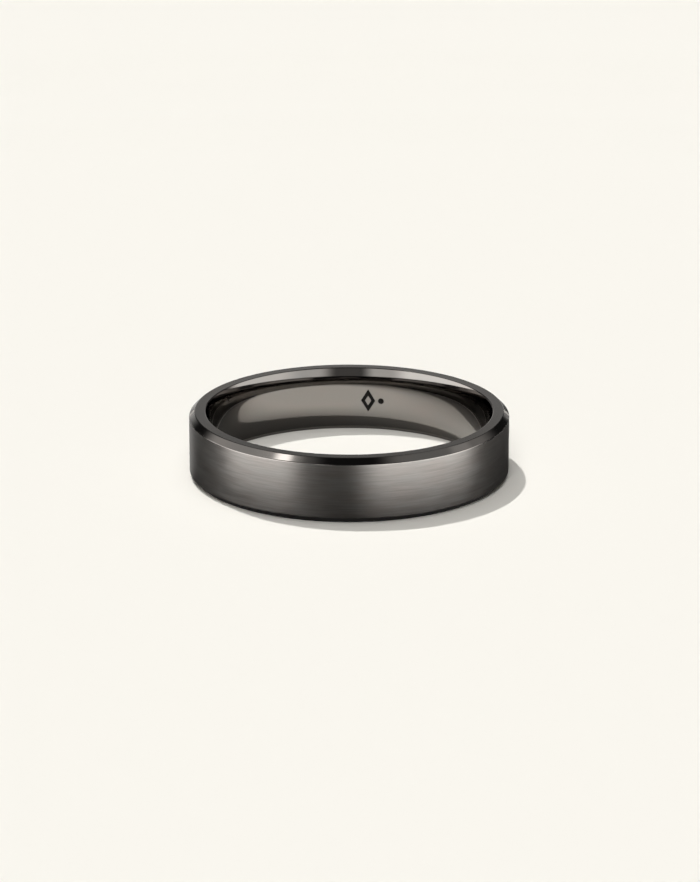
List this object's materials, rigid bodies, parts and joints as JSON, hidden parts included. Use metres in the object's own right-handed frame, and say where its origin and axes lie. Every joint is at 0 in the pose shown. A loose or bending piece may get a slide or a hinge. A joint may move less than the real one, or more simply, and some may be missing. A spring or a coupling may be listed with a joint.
{
  "type": "wedding band",
  "caption": "Flat-faced metal finger ring with bevelled edges, a comfort-fit bore and a small enamel-filled mark inside.",
  "frame": {"origin": "centre of the lower rim's plane, on the ring's axis", "axes": "+Z along the ring's axis from the lower rim to the upper rim; +Y towards the side of the bore that carries the mark (the mark is 9.9 degrees from +Y towards +X); +X to the right of someone who looks along +Y"},
  "size_m": [0.022, 0.022, 0.0045],
  "materials": {
    "titanium": "dark grey metal: satin outer face brushed round the ring, polished bevels, rims and bore",
    "black_enamel": "semi-gloss black filling of the engraved mark"
  },
  "bodies": {
    "root": {"band": "titanium", "mark_enamel_lozenge": "black_enamel", "mark_enamel_dot": "black_enamel"}
  },
  "joints": []
}
